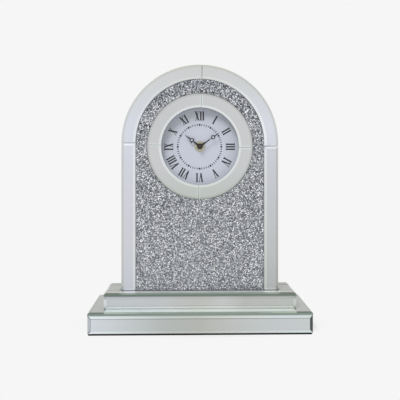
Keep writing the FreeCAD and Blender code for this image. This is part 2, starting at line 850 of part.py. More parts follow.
def movement_case():
    """The front shell, with the threaded bush, the battery bay and the posts inside."""
    shell = case_block(-half_case, case_front_y, case_back_y)
    works = box(-works_half, works_half, case_inside_y, case_back_y, works_bottom, works_half)
    bay = box(-works_half, works_half, case_inside_y, case_back_y + overrun, bay_bottom, bay_top)
    lid = box(-half_case - overrun, half_case + overrun, cover_inside_y, case_back_y + overrun,
              bay_top, half_case + overrun)
    half_notch = notch_width / 2
    notch = box(-half_notch, half_notch, case_back_y - notch_depth, case_back_y + overrun,
                -half_case - overrun, bay_bottom + overrun)
    motion_post_y = motion_plane_y + gear_thickness + plane_gap / 2
    solids = [rod_y(bush_radius, bush_front_y, case_inside_y)]
    solids.append(rod_y(motion_post_radius, case_inside_y, motion_post_y, motion_at))
    solids += stator_posts() + pcb_posts()
    holes = [rod_y(bush_bore, bush_front_y - overrun, case_inside_y + overrun)]
    holes += [pivot_hole(at, arbor_radius, case_inside_y, -1) for at in train_centres]
    holes.append(pivot_hole(setting_at, setting_pivot_radius, case_inside_y, -1))
    shell = cut(shell, works, bay, lid, notch, contact_slot(-1), contact_slot(1))
    return at_dial(cut(fuse(shell, *solids), *holes))


def movement_cover():
    plate = case_block(bay_top, cover_inside_y, case_back_y)
    ends = (cover_inside_y - overrun, case_back_y + overrun)
    holes = [rod_y(setting_arbor_radius + bearing_gap, *ends, setting_at)]
    holes += [pivot_hole(at, arbor_radius, cover_inside_y, 1) for at in train_centres]
    holes.append(pivot_hole(centre_at, clutch_radius, cover_inside_y, 1))
    return at_dial(cut(plate, *holes))


# Battery and its contacts

def aa_cell():
    half = cell_length / 2
    body = rod_x(cell_radius, -half, half - cell_nub_height, cell_y, cell_at)
    nub = rod_x(cell_nub_radius, half - cell_nub_height, half, cell_y, cell_at)
    return at_dial(fuse(body, nub))


def contact(side):
    """A sheet contact on the end wall of the bay, pressed out towards the cell, with a tail."""
    wall = sorted((side * works_half, side * (works_half - contact_thickness)))
    half_contact = contact_width / 2
    depths = (cell_y - half_contact, cell_y + half_contact)
    plate = box(*wall, *depths, cell_at - half_contact, cell_at + half_contact)
    tail_half = contact_tail_width / 2
    tail = box(*wall, cell_y - tail_half, cell_y + tail_half, cell_at, works_bottom + contact_tail)
    foot_x = side * works_half
    touch_x = side * (cell_length / 2 + contact_touch_gap)
    low = cell_at - contact_leaf_rise
    high = cell_at + contact_leaf_rise
    leaf = prism_y([(foot_x, low), (touch_x, cell_at), (foot_x, high)],
                   cell_y - contact_leaf_half, cell_y + contact_leaf_half)
    return at_dial(fuse(plate, tail, leaf))


crown_angle = 90 - drop_angle(crown_joint_shift)

pieces = {
    "base_pad": base_pad(),
    "lower_core": lower_core(),
    "lower_front_mirror": tier_front(base_width, base_depth, lower_bottom_z, lower_core_top_z),
    "lower_side_mirror_left": tier_side(-1, base_width, base_depth, lower_bottom_z, lower_core_top_z),
    "lower_side_mirror_right": tier_side(1, base_width, base_depth, lower_bottom_z, lower_core_top_z),
    "lower_top_mirror": top_plate(base_width, base_depth, lower_core_top_z),
    "upper_core": upper_core(),
    "upper_front_mirror": tier_front(upper_width, upper_depth, lower_top_z, upper_core_top_z),
    "upper_side_mirror_left": tier_side(-1, upper_width, upper_depth, lower_top_z, upper_core_top_z),
    "upper_side_mirror_right": tier_side(1, upper_width, upper_depth, lower_top_z, upper_core_top_z),
    "upper_top_mirror_front": upper_top_long(-1),
    "upper_top_mirror_rear": upper_top_long(1),
    "upper_top_mirror_left": upper_top_short(-1),
    "upper_top_mirror_right": upper_top_short(1),
    "arch_body": arch_body(),
    "arch_back_board": arch_back_board(),
    "side_mirror_left": side_mirror(-1, left_joint_drop),
    "side_mirror_right": side_mirror(1, right_joint_drop),
    "arch_mirror_left": arch_mirror(crown_angle, 180 + drop_angle(left_joint_drop)),
    "arch_mirror_right": arch_mirror(-drop_angle(right_joint_drop), crown_angle),
    "bezel_mirror_upper_right": bezel_mirror(0),
    "bezel_mirror_upper_left": bezel_mirror(1),
    "bezel_mirror_lower_left": bezel_mirror(2),
    "bezel_mirror_lower_right": bezel_mirror(3),
    "crushed_glass_panel": crushed_glass_panel(),
    "dial_plate": dial_plate(),
    "fixing_nut": fixing_nut(),
    "minute_hand": minute_hand(),
    "hour_hand": hour_hand(),
    "hand_nut": hand_nut(),
    "movement_case": movement_case(),
    "movement_cover": movement_cover(),
    "minute_arbor": minute_arbor(),
    "centre_wheel": centre_wheel(),
    "third_wheel": third_wheel(),
    "seconds_wheel": seconds_wheel(),
    "intermediate_wheel": intermediate_wheel(),
    "rotor": rotor(),
    "motion_wheel": motion_wheel(),
    "hour_wheel": hour_wheel(),
    "setting_pinion": setting_pinion(),
    "setting_knob": setting_knob(),
    "stator": stator(),
    "coil_core": coil_core(),
    "coil": coil(),
    "circuit_board": circuit_board(),
    "quartz_crystal": quartz_crystal(),
    "positive_contact": contact(1),
    "negative_contact": contact(-1),
    "aa_cell": aa_cell(),
}

os.makedirs("parts", exist_ok=True)
for name, solid in pieces.items():
    solid.exportStep("parts/" + name + ".step")
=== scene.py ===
import math
import random

import bmesh
import bpy
from mathutils import Matrix, Vector


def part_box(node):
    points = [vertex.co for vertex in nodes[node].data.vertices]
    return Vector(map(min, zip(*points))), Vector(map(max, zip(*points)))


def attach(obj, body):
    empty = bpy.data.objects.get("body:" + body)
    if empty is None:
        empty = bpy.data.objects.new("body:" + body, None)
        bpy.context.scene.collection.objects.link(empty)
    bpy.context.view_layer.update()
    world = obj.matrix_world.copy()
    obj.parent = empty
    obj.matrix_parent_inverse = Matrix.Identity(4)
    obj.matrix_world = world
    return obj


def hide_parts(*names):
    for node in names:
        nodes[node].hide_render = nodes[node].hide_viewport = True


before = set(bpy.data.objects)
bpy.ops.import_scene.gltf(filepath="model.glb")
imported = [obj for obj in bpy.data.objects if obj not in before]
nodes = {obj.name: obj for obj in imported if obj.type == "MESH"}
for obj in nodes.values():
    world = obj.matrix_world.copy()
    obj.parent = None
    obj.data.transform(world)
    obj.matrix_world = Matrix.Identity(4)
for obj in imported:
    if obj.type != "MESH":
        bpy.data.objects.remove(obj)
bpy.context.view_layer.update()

MM = 0.001

# Places read from the frame
arch_low, arch_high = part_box("arch_mirror_left")
nut_low, nut_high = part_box("fixing_nut")
dial_low, dial_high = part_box("dial_plate")
panel_low, panel_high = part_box("crushed_glass_panel")
upper_front_low, upper_front_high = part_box("upper_front_mirror")
half_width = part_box("arch_mirror_right")[1][0]
half_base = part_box("lower_top_mirror")[1][0]
upright_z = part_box("upper_top_mirror_front")[1][2]
face_y = arch_low[1]
board_y = arch_high[1]
dial_y = dial_low[1]
dial_z = (nut_low[2] + nut_high[2]) / 2
bezel_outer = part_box("bezel_mirror_upper_left")[1][2] - dial_z
arch_z = arch_high[2] - half_width

# Bevelled glass strips: the drop goes from a strip's flat down to its rim, and turns are in degrees
frame_width = 19.5 * MM
frame_bevel = 3.2 * MM
bezel_width = 19.3 * MM
bezel_bevel = 3.0 * MM
end_bevel_share = 0.5
strip_drop = 1.4 * MM
joint_gap = 0.3 * MM
crown_shift = 3.0 * MM
right_joint_drop = 4.4 * MM
bezel_turn = -1.6
arc_step = 1.5
strip_crease_angle = 9.0
# Spread of the painted reflection that greys bevels leaning away from a centre
painted_outward_reflection_reach = 20 * MM

# Depths taken off sharp edges, and the least angle between faces that makes an edge sharp, in degrees
strip_edge = 0.04 * MM
plate_edge = 0.09 * MM
board_edge = 0.2 * MM
hand_edge = 0.03 * MM
metal_edge = 0.05 * MM
knob_edge = 0.08 * MM
weld_reach = 0.001 * MM
softened_angle = 14.0

# Crushed glass: a pair is the least and the most, and the chips' proportions are shares of their size
panel_radius = panel_high[0]
chip_top_y = panel_low[1]
bed_clearance = 0.3 * MM
bed_rise = 0.75 * MM
sill_low = panel_low[2] - 1.3 * MM
sill_high = panel_low[2] + 0.5 * MM
chip_seed = 7
chip_spacing = 1.5 * MM
chip_margin = 0.7 * MM
chip_foot_share = 1 / 3
chip_size = 1.75 * MM
chip_sizes = (0.6, 1.25)
chip_lengths = (0.5, 0.95)
chip_widths = (0.28, 0.6)
chip_depths = (0.16, 0.34)
chip_corners = (0.7, 1.15)
chip_skew_across = 0.3
chip_skew_up = 0.2
chip_levels = (0.45, 1.1)
chip_slant = 0.75
chip_pull_back = 0.6
chip_contrast = 0.4
# Painted light and shade on the chips: lighter below even_height of the panel's height and darker above it
painted_foot_light = 0.2
even_height = 0.68
# Painted shadow of the frame on the chips: how dark along the border and below the arch's upper left, and how
# far in
painted_edge_shadow = 0.5
painted_edge_shadow_reach = 2.2 * MM
painted_arch_shadow = 0.3
painted_arch_shadow_reach = 9 * MM
arc_sides = 90
hole_sides = 160

# Dial printing
print_rise = 0.06 * MM
stroke_step = 0.05
# Painted shade on the dial: how far right and down of the dial's centre it is centred, so that it falls most
# at the upper left
dial_painted_shadow_x = 4 * MM
dial_painted_shadow_drop = 10 * MM
numeral_radius = 43.3 * MM
numeral_height = 12.6 * MM
thick_stroke = 1.95 * MM
thin_stroke = 0.75 * MM
stroke_pitch = 3.5 * MM
letter_widths = {"I": stroke_pitch, "V": 7.2 * MM, "X": 7.0 * MM}
serif_height = 0.5 * MM
serif_overhang = 0.55 * MM
print_shift_x = -0.4 * MM
print_shift_z = -0.5 * MM
track_radius = 30.7 * MM
hour_dot_radius = 1.45 * MM
minute_mark_radius = 0.54 * MM
minute_mark_reach = 1.45 * MM
mark_sides = 20
mark_rings = ((1.0, 0.0), (0.94, 0.7), (0.7, 1.0))

# Studio: the floor takes light and shadow near the clock and glows like the backdrop further away, in metres.
# The camera's turn is in degrees, its lens and sensor in millimetres and its shift a share of the sensor.
floor_reach = 9.0
lit_floor = (0.046, 0.08)
lit_floor_stretch = (0.4, 1.0, 1.0)
world_strength = 0.68
camera_place = Vector((-18.8, -856.4, 232.5)) * MM
camera_turn = -1.285
camera_lens = 54.3
camera_sensor = 36.0
camera_shift = -0.1
nearest_seen = 0.01


def tone(red, green, blue):
    """A colour as seen on a screen, from 0 to 255, as the linear colour that the shaders take."""
    shares = [value / 255 for value in (red, green, blue)]
    linear = [s / 12.92 if s <= 0.04045 else ((s + 0.055) / 1.055) ** 2.4 for s in shares]
    return (*linear, 1)


# Materials

class Finish:
    """A node material with one shader and helpers that join texture nodes to it."""

    def __init__(self, name, **inputs):
        self.material = bpy.data.materials.new(name)
        self.material.use_nodes = True
        self.tree = self.material.node_tree
        self.shader = self.tree.nodes["Principled BSDF"]
        for key, value in inputs.items():
            self.shader.inputs[key.replace("_", " ").title().replace("Ior", "IOR")].default_value = value

    def node(self, kind, **settings):
        made = self.tree.nodes.new(kind)
        for key, value in settings.items():
            setattr(made, key, value)
        return made

    def join(self, source, output, target, name):
        self.tree.links.new(source.outputs[output], target.inputs[name])

    def place(self):
        return self.node("ShaderNodeTexCoord")

    def noise(self, scale, detail=3.0, roughness=0.5, stretch=None):
        noise = self.node("ShaderNodeTexNoise")
        noise.inputs["Scale"].default_value = scale
        noise.inputs["Detail"].default_value = detail
        noise.inputs["Roughness"].default_value = roughness
        source = self.place()
        if stretch is None:
            self.join(source, "Object", noise, "Vector")
        else:
            mapping = self.node("ShaderNodeMapping")
            mapping.inputs["Scale"].default_value = stretch
            self.join(source, "Object", mapping, "Vector")
            self.join(mapping, "Vector", noise, "Vector")
        return noise

    def ramp(self, source, output, stops):
        ramp = self.node("ShaderNodeValToRGB")
        elements = ramp.color_ramp.elements
        for element, (position, colour) in zip(elements, (stops[0], stops[-1])):
            element.position = position
            element.color = colour
        for position, colour in stops[1:-1]:
            elements.new(position).color = colour
        self.join(source, output, ramp, "Fac")
        return ramp

    def multiply(self, first, second, where=None):
        """A node that multiplies the colours of two ramps or mixes, only as far as a third ramp says."""
        mix = self.node("ShaderNodeMix", data_type="RGBA", blend_type="MULTIPLY")
        mix.inputs["Factor"].default_value = 1.0
        if where is not None:
            self.join(where, "Color", mix, "Factor")
        for socket, source in ((6, first), (7, second)):
            self.join(source, 2 if source.bl_idname == "ShaderNodeMix" else "Color", mix, socket)
        return mix

    def colour(self, source, output, stops):
        self.join(self.ramp(source, output, stops), "Color", self.shader, "Base Color")

    def share(self, source, output, start, end):
        """A node whose Result goes from 0 to 1 as the value goes from start to end."""
        span = self.node("ShaderNodeMapRange")
        span.inputs["From Min"].default_value = start
        span.inputs["From Max"].default_value = end
        self.join(source, output, span, "Value")
        return span

    def roughness(self, source, output, low, high):
        span = self.node("ShaderNodeMapRange")
        span.inputs["To Min"].default_value = low
        span.inputs["To Max"].default_value = high
        self.join(source, output, span, "Value")
        self.join(span, "Result", self.shader, "Roughness")

    def bump(self, source, output, strength, distance):
        bump = self.node("ShaderNodeBump")
        bump.inputs["Strength"].default_value = strength
        bump.inputs["Distance"].default_value = distance
        self.join(source, output, bump, "Height")
        self.join(bump, "Normal", self.shader, "Normal")


white = tone(255, 255, 255)
black = tone(0, 0, 0)
# Painted reflection on bevels that lean away from a centre
painted_outward_reflection = tone(221, 221, 218)
backdrop_tone = tone(246, 246, 246)


def mirror_finish(name, flat, bevel, line, edge, facing, spans=(), leans=(), centre=None, metallic=1.0):
    """Silvered glass with a faint haze and waviness. Flats, bevels, polished creases and cut edges are told
    apart by how far a face turns from the plate's front; cut edges keep the glass's green, and the rest take
    tones of painted reflection. Each of spans is an axis, a start, an end and the tones of painted reflection
    between them. Each of leans is an axis and the tones of painted reflection on faces that lean from its low
    side, at 0, to its high side, at 1. Bevels that face away from centre get a greyer painted reflection than
    those that face it."""
    finish = Finish(name, metallic=metallic)
    normal = finish.node("ShaderNodeNewGeometry")
    split = finish.node("ShaderNodeSeparateXYZ")
    finish.join(normal, "True Normal", split, "Vector")
    turned = finish.share(split, facing[0], 0.0, facing[1])
    front = finish.ramp(turned, "Result", [(0.0, black), (0.6, black), (0.8, white), (1.0, white)])
    haze = finish.noise(9.0, 4.0)
    cloud = finish.ramp(haze, "Fac", [(0.3, tone(246, 248, 250)), (0.7, white)])
    tones = finish.multiply(turn_ramp(finish, turned, flat, bevel, line, edge), cloud)
    for axis, stops in leans:
        tones = finish.multiply(tones, finish.ramp(finish.share(split, axis, -1.0, 1.0), "Result", stops))
    if centre is not None:
        tones = finish.multiply(tones, painted_outward_reflection_ramp(finish, normal, centre))
    for span in spans:
        tones = finish.multiply(tones, span_ramp(finish, *span), front)
    finish.join(tones, 2, finish.shader, "Base Color")
    finish.roughness(haze, "Fac", 0.03, 0.09)
    finish.bump(finish.noise(14.0, 2.0), "Fac", 0.1, 0.0004)
    return finish.material


def turn_ramp(finish, turned, flat, bevel, line, edge):
    """Tones from faces at right angles to the front, at 0, to those that face it, at 1: the glass's own
    colour on cut edges, and painted reflection that sets bevels and creases apart from the flat. A crease has
    faces steeper than the bevel beside a cut edge, and shallower ones beside the flat."""
    return finish.ramp(turned, "Result", [
        (0.0, edge), (0.45, edge), (0.55, line), (0.872, line), (0.882, bevel),
        (0.966, bevel), (0.972, line), (0.9965, line), (0.9985, flat), (1.0, flat),
    ])


def span_ramp(finish, axis, start, end, stops):
    """Tones of painted reflection along an axis of the clock."""
    place = finish.node("ShaderNodeSeparateXYZ")
    finish.join(finish.place(), "Object", place, "Vector")
    return finish.ramp(finish.share(place, axis, start, end), "Result", stops)


def painted_outward_reflection_ramp(finish, normal, centre):
    """Painted reflection: white on faces that lean towards the centre of a ring or an arch, greyer on those
    that lean away.
    """
    spoke = finish.node("ShaderNodeMapping")
    spoke.inputs["Location"].default_value = (0.0, -face_y, -centre)
    finish.join(finish.place(), "Object", spoke, "Vector")
    lean = finish.node("ShaderNodeVectorMath", operation="DOT_PRODUCT")
    finish.tree.links.new(normal.outputs["True Normal"], lean.inputs[0])
    finish.tree.links.new(spoke.outputs["Vector"], lean.inputs[1])
    span = finish.share(lean, "Value", -painted_outward_reflection_reach, painted_outward_reflection_reach)
    return finish.ramp(span, "Result", [
        (0.0, white), (0.6, white), (0.9, painted_outward_reflection), (1.0, painted_outward_reflection),
    ])


def chip_finish():
    """Silvered chips, each with its own shade from the mesh, a random tone with painted light and shadow, and
    small flecks of its own.
    """
    finish = Finish("crushed_glass", metallic=0.2, specular_ior_level=0.5, coat_weight=0.1)
    shade = finish.node("ShaderNodeAttribute", attribute_name="shade")
    finish.colour(shade, "Fac", [
        (0.0, tone(30, 32, 40)), (0.3, tone(154, 157, 164)),
        (0.55, tone(244, 248, 255)), (1.0, white),
    ])
    fleck = finish.noise(900.0, 3.0)
    finish.roughness(fleck, "Fac", 0.12, 0.42)
    finish.bump(fleck, "Fac", 0.3, 0.0003)
    return finish.material


def bed_finish():
    finish = Finish("glass_bed", metallic=0.2)
    grit = finish.noise(700.0, 5.0, 0.7)
    finish.colour(grit, "Fac", [(0.35, tone(90, 93, 100)), (0.65, tone(158, 161, 168))])
    finish.roughness(grit, "Fac", 0.35, 0.7)
    finish.bump(grit, "Fac", 0.6, 0.0004)
    return finish.material


def dial_finish():
    """White print paper with painted shade: a little greyer towards the rim and most of all at the upper
    left, where the ring's recess shades it.
    """
    finish = Finish("dial_face", specular_ior_level=0.4)
    grain = finish.noise(1600.0, 4.0, 0.6)
    paper = finish.ramp(grain, "Fac", [(0.3, tone(192, 196, 210)), (0.7, tone(198, 202, 215))])
    spoke = finish.node("ShaderNodeMapping")
    spoke.inputs["Location"].default_value = (-dial_painted_shadow_x, 0.0, dial_painted_shadow_drop - dial_z)
    spoke.inputs["Scale"].default_value = (1.0, 0.0, 1.0)
    finish.join(finish.place(), "Object", spoke, "Vector")
    reach = finish.node("ShaderNodeVectorMath", operation="LENGTH")
    finish.join(spoke, "Vector", reach, "Vector")
    # Painted shade, greyer towards the rim.
    rim = finish.ramp(finish.share(reach, "Value", 0.0, dial_high[0]), "Result", [
        (0.0, white), (0.55, white), (0.7, tone(250, 250, 249)), (0.85, tone(246, 246, 244)),
        (1.0, tone(234, 234, 232)),
    ])
    finish.join(finish.multiply(paper, rim), 2, finish.shader, "Base Color")
    finish.roughness(grain, "Fac", 0.4, 0.55)
    finish.bump(grain, "Fac", 0.08, 0.0001)
    return finish.material


def ink_finish(name, dark, light):
    finish = Finish(name, specular_ior_level=0.35)
    grain = finish.noise(1400.0, 3.0)
    finish.colour(grain, "Fac", [(0.3, dark), (0.7, light)])
    finish.roughness(grain, "Fac", 0.38, 0.6)
    return finish.material


def grained_plastic(name, dark, light, grain_scale=2200.0, low=0.32, high=0.5, depth=0.15):
    """Moulded plastic: a fine grain and slightly uneven gloss."""
    finish = Finish(name, specular_ior_level=0.5)
    grain = finish.noise(grain_scale, 3.0, 0.6)
    cloud = finish.noise(60.0, 2.0)
    finish.colour(cloud, "Fac", [(0.3, dark), (0.7, light)])
    finish.roughness(grain, "Fac", low, high)
    finish.bump(grain, "Fac", depth, 0.00012)
    return finish.material


def worked_metal(name, dark, light, low, high, scale=700.0):
    """Metal with fine marks drawn out along one direction."""
    finish = Finish(name, metallic=1.0)
    marks = finish.noise(scale, 4.0, 0.6, (1.0, 14.0, 1.0))
    finish.colour(marks, "Fac", [(0.3, dark), (0.7, light)])
    finish.roughness(marks, "Fac", low, high)
    finish.bump(marks, "Fac", 0.12, 0.0001)
    return finish.material


def fibreboard(name, dark, light, low, high):
    finish = Finish(name, specular_ior_level=0.3)
    fibres = finish.noise(420.0, 6.0, 0.7, (1.0, 1.0, 2.4))
    finish.colour(fibres, "Fac", [(0.25, dark), (0.75, light)])
    finish.roughness(fibres, "Fac", low, high)
    finish.bump(fibres, "Fac", 0.25, 0.0004)
    return finish.material


def foam():
    finish = Finish("foam_pad", specular_ior_level=0.2)
    cells = finish.node("ShaderNodeTexVoronoi")
    cells.inputs["Scale"].default_value = 1500.0
    finish.join(finish.place(), "Object", cells, "Vector")
    finish.colour(cells, "Distance", [(0.0, tone(12, 12, 13)), (0.8, tone(38, 38, 40))])
    finish.roughness(cells, "Distance", 0.8, 0.97)
    finish.bump(cells, "Distance", 0.7, 0.0003)
    return finish.material


def wound_copper():
    """Enamelled wire in turns side by side along the coil."""
    finish = Finish("coil_wire", metallic=0.9, coat_weight=0.4)
    turns = finish.node("ShaderNodeTexWave", wave_type="BANDS", bands_direction="Z")
    turns.inputs["Scale"].default_value = 900.0
    turns.inputs["Distortion"].default_value = 0.4
    finish.join(finish.place(), "Object", turns, "Vector")
    finish.colour(turns, "Fac", [(0.1, tone(96, 46, 22)), (0.8, tone(205, 120, 72))])
    finish.roughness(turns, "Fac", 0.25, 0.45)
    finish.bump(turns, "Fac", 0.8, 0.0002)
    return finish.material


def circuit():
    finish = Finish("circuit", coat_weight=0.5, coat_roughness=0.25)
    weave = finish.node("ShaderNodeTexChecker")
    weave.inputs["Scale"].default_value = 1800.0
    weave.inputs["Color1"].default_value = tone(24, 84, 52)
    weave.inputs["Color2"].default_value = tone(30, 96, 60)
    finish.join(finish.place(), "Object", weave, "Vector")
    finish.join(weave, "Color", finish.shader, "Base Color")
    finish.roughness(finish.noise(500.0), "Fac", 0.35, 0.55)
    finish.bump(weave, "Fac", 0.1, 0.0001)
    return finish.material


def cell_jacket():
    """A plain printed jacket in two tones; the join is near the raised end."""
    finish = Finish("cell_jacket", metallic=0.55, coat_weight=0.6, coat_roughness=0.15)
    low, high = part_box("aa_cell")
    split = finish.node("ShaderNodeSeparateXYZ")
    finish.join(finish.place(), "Object", split, "Vector")
    finish.colour(finish.share(split, "X", low[0], high[0]), "Result", [
        (0.0, tone(196, 198, 200)), (0.02, tone(30, 32, 36)),
        (0.74, tone(34, 36, 40)), (0.75, tone(176, 120, 62)), (1.0, tone(196, 198, 200)),
    ])
    finish.roughness(finish.noise(300.0), "Fac", 0.2, 0.38)
    return finish.material


# Mirrors: the tones of their flat, bevel, crease and cut edge, the way they face, and how the tones vary.
# Apart from the green of the cut edges, these tones are painted reflection.
faces_front, faces_up, faces_left, faces_right = ("Y", -1.0), ("Z", 1.0), ("X", -1.0), ("X", 1.0)
across = ("X", -half_base, half_base)
upwards = ("Z", upright_z, arch_high[2])
up_the_tier = ("Z", upper_front_low[2], upper_front_high[2])
green_edge = tone(158, 178, 166)

# The frame's tones, and the way they vary up the clock, are painted reflection.
frame_tones = (tone(222, 223, 234), tone(242, 243, 250), tone(226, 228, 234), green_edge, faces_front)
front_glass = mirror_finish(
    "mirror_frame", *frame_tones, centre=arch_z, metallic=0.5,
    spans=[(*upwards, [
        (0.0, white), (0.009, white), (0.012, tone(240, 241, 236)), (0.35, tone(242, 241, 238)),
        (0.72, tone(250, 252, 250)), (1.0, tone(236, 236, 223)),
    ])],
)
# The right leg takes its own copy of the frame's glass, with a different painted reflection up its height:
# darker low down and lighter higher up.
right_foot_painted_reflection = tone(236, 238, 228)
right_leg_painted_reflection_glass = mirror_finish(
    "mirror_right_leg", *frame_tones, centre=arch_z, metallic=0.5,
    spans=[(*upwards, [
        (0.0, right_foot_painted_reflection), (0.009, right_foot_painted_reflection), (0.012, tone(214, 216, 204)), (0.35, tone(231, 232, 224)),
        (0.65, tone(240, 240, 238)), (1.0, tone(252, 254, 252)),
    ])],
)
# The ring's tones, and its greener lower part, are painted reflection.
bezel_glass = mirror_finish(
    "mirror_bezel", tone(212, 213, 213), tone(232, 234, 234), tone(240, 242, 242), green_edge, faces_front,
    centre=dial_z,
    spans=[(*upwards, [
        (0.0, tone(238, 243, 235)), (0.4, tone(239, 244, 237)), (0.55, tone(253, 253, 254)), (1.0, white),
    ])],
)

tier_tones = (tone(229, 229, 229), tone(252, 252, 252))
# Painted reflection on the lower front: a grey bevel and a dark crease at its left end, a dark bevel at its
# right end, a grey crease along its top, and tones that vary across it.
left_bevel_painted_reflection = tone(200, 203, 205)
left_crease_painted_reflection = tone(92, 100, 104)
right_bevel_painted_reflection = tone(88, 92, 92)
top_crease_painted_reflection = tone(198, 203, 200)
lower_front_glass = mirror_finish(
    "mirror_lower_front", *tier_tones, tone(226, 228, 227), green_edge, faces_front, metallic=0.6,
    leans=[
        ("X", [
            (0.0, white), (0.3, white), (0.34, left_bevel_painted_reflection), (0.38, left_bevel_painted_reflection), (0.395, left_crease_painted_reflection),
            (0.45, left_crease_painted_reflection), (0.47, white), (0.6, white), (0.62, right_bevel_painted_reflection), (0.66, right_bevel_painted_reflection),
            (0.7, white), (1.0, white),
        ]),
        ("Z", [
            (0.0, white), (0.53, white), (0.55, top_crease_painted_reflection), (0.605, top_crease_painted_reflection), (0.625, white),
            (1.0, white),
        ]),
    ],
    spans=[(*across, [
        (0.0, tone(246, 251, 255)), (0.2, tone(226, 231, 231)), (0.35, tone(208, 213, 209)),
        (0.5, tone(207, 209, 203)), (0.65, tone(219, 222, 219)), (0.85, tone(225, 231, 232)),
        (1.0, tone(226, 233, 233)),
    ])],
)
# Painted reflection on the upper front: a grey crease at its foot, and bands up its height, grey at the foot,
# white just above, grey in the middle and darker at the head, with tones that vary across it.
foot_crease_painted_reflection = tone(218, 220, 218)
foot_painted_reflection = tone(216, 216, 216)
middle_painted_reflection = tone(238, 238, 238)
head_painted_reflection = tone(206, 206, 206)
upper_front_glass = mirror_finish(
    "mirror_upper_front", *tier_tones, tone(228, 230, 229), green_edge, faces_front, metallic=0.35,
    leans=[("Z", [
        (0.0, white), (0.365, white), (0.385, foot_crease_painted_reflection), (0.46, foot_crease_painted_reflection), (0.475, white), (1.0, white),
    ])],
    spans=[
        (*across, [
            (0.0, tone(246, 250, 253)), (0.3, tone(244, 245, 247)), (0.5, tone(236, 237, 231)),
            (0.6, tone(245, 246, 245)), (0.7, tone(230, 231, 228)), (1.0, tone(231, 235, 231)),
        ]),
        (*up_the_tier, [
            (0.0, foot_painted_reflection), (0.04, foot_painted_reflection), (0.08, white), (0.3, white), (0.33, middle_painted_reflection),
            (0.74, middle_painted_reflection), (0.78, head_painted_reflection), (1.0, head_painted_reflection),
        ]),
    ],
)

top_tones = (tone(172, 182, 172), tone(128, 136, 128), tone(132, 150, 139), faces_up)
front_top_tones = (tone(168, 178, 168), tone(124, 132, 124), tone(112, 128, 117), faces_up)
# Painted reflection: the lower top is greyer at its two ends.
side_painted_reflection = tone(168, 168, 165)
lower_top_glass = mirror_finish(
    "mirror_lower_top", tone(240, 246, 242), *top_tones, metallic=0.45,
    spans=[(*across, [
        (0.0, side_painted_reflection), (0.07, side_painted_reflection), (0.075, white), (0.925, white), (0.93, side_painted_reflection),
        (1.0, side_painted_reflection),
    ])],
)
# The upper top's side and rear plates take a much darker flat than the lower top, as painted reflection.
upper_top_glass = mirror_finish("mirror_upper_top", tone(150, 151, 143), *top_tones, metallic=0.5)
# Painted reflection on the upper top's front plate: greyer shoulders beyond the upright, and a faint tone
# where it mirrors the crushed glass.
shoulder_painted_reflection = tone(168, 168, 162)
panel_painted_reflection = tone(240, 243, 242)
upper_top_front_glass = mirror_finish(
    "mirror_upper_top_front", white, *front_top_tones, metallic=0.4,
    spans=[(*across, [
        (0.0, shoulder_painted_reflection), (0.13, shoulder_painted_reflection), (0.16, white), (0.195, white), (0.205, panel_painted_reflection),
        (0.795, panel_painted_reflection), (0.805, white), (0.84, white), (0.87, shoulder_painted_reflection), (1.0, shoulder_painted_reflection),
    ])],
)
side_tones = (tone(216, 221, 227), tone(224, 228, 230), tone(160, 166, 166), green_edge)
left_glass = mirror_finish("mirror_left_side", *side_tones, faces_left)
right_glass = mirror_finish("mirror_right_side", *side_tones, faces_right)

# Everything else
chips_material = chip_finish()
bed_material = bed_finish()
dial_material = dial_finish()
numeral_ink = ink_finish("numeral_ink", tone(28, 27, 34), tone(44, 43, 52))
dot_ink = ink_finish("dot_ink", tone(30, 30, 42), tone(50, 50, 62))
hand_black = grained_plastic("hand_black", tone(18, 18, 22), tone(30, 30, 35), low=0.28, high=0.42)
brass = worked_metal("turned_brass", tone(164, 161, 140), tone(198, 195, 174), 0.3, 0.48)
bronze = worked_metal("dark_hand_nut", tone(60, 54, 52), tone(84, 76, 72), 0.28, 0.42)
steel = worked_metal("pressed_steel", tone(150, 151, 154), tone(188, 189, 191), 0.25, 0.42)
plated = worked_metal("plated_contact", tone(186, 186, 184), tone(220, 219, 214), 0.15, 0.3)
ferrite = worked_metal("ground_ferrite", tone(58, 58, 62), tone(80, 80, 84), 0.35, 0.6, 1200.0)
case_black = grained_plastic("case_plastic", tone(22, 22, 24), tone(32, 32, 35), 1500.0, 0.42, 0.62, 0.35)
knob_black = grained_plastic("knob_plastic", tone(26, 26, 28), tone(40, 40, 43), 1800.0, 0.3, 0.45)
acetal = grained_plastic("gear_acetal", tone(228, 225, 214), tone(240, 238, 229), 1200.0, 0.25, 0.4, 0.08)
silver_board = fibreboard("silver_painted_board", tone(176, 177, 179), tone(200, 201, 203), 0.32, 0.5)
black_board = fibreboard("black_painted_board", tone(24, 24, 25), tone(40, 40, 41), 0.55, 0.8)

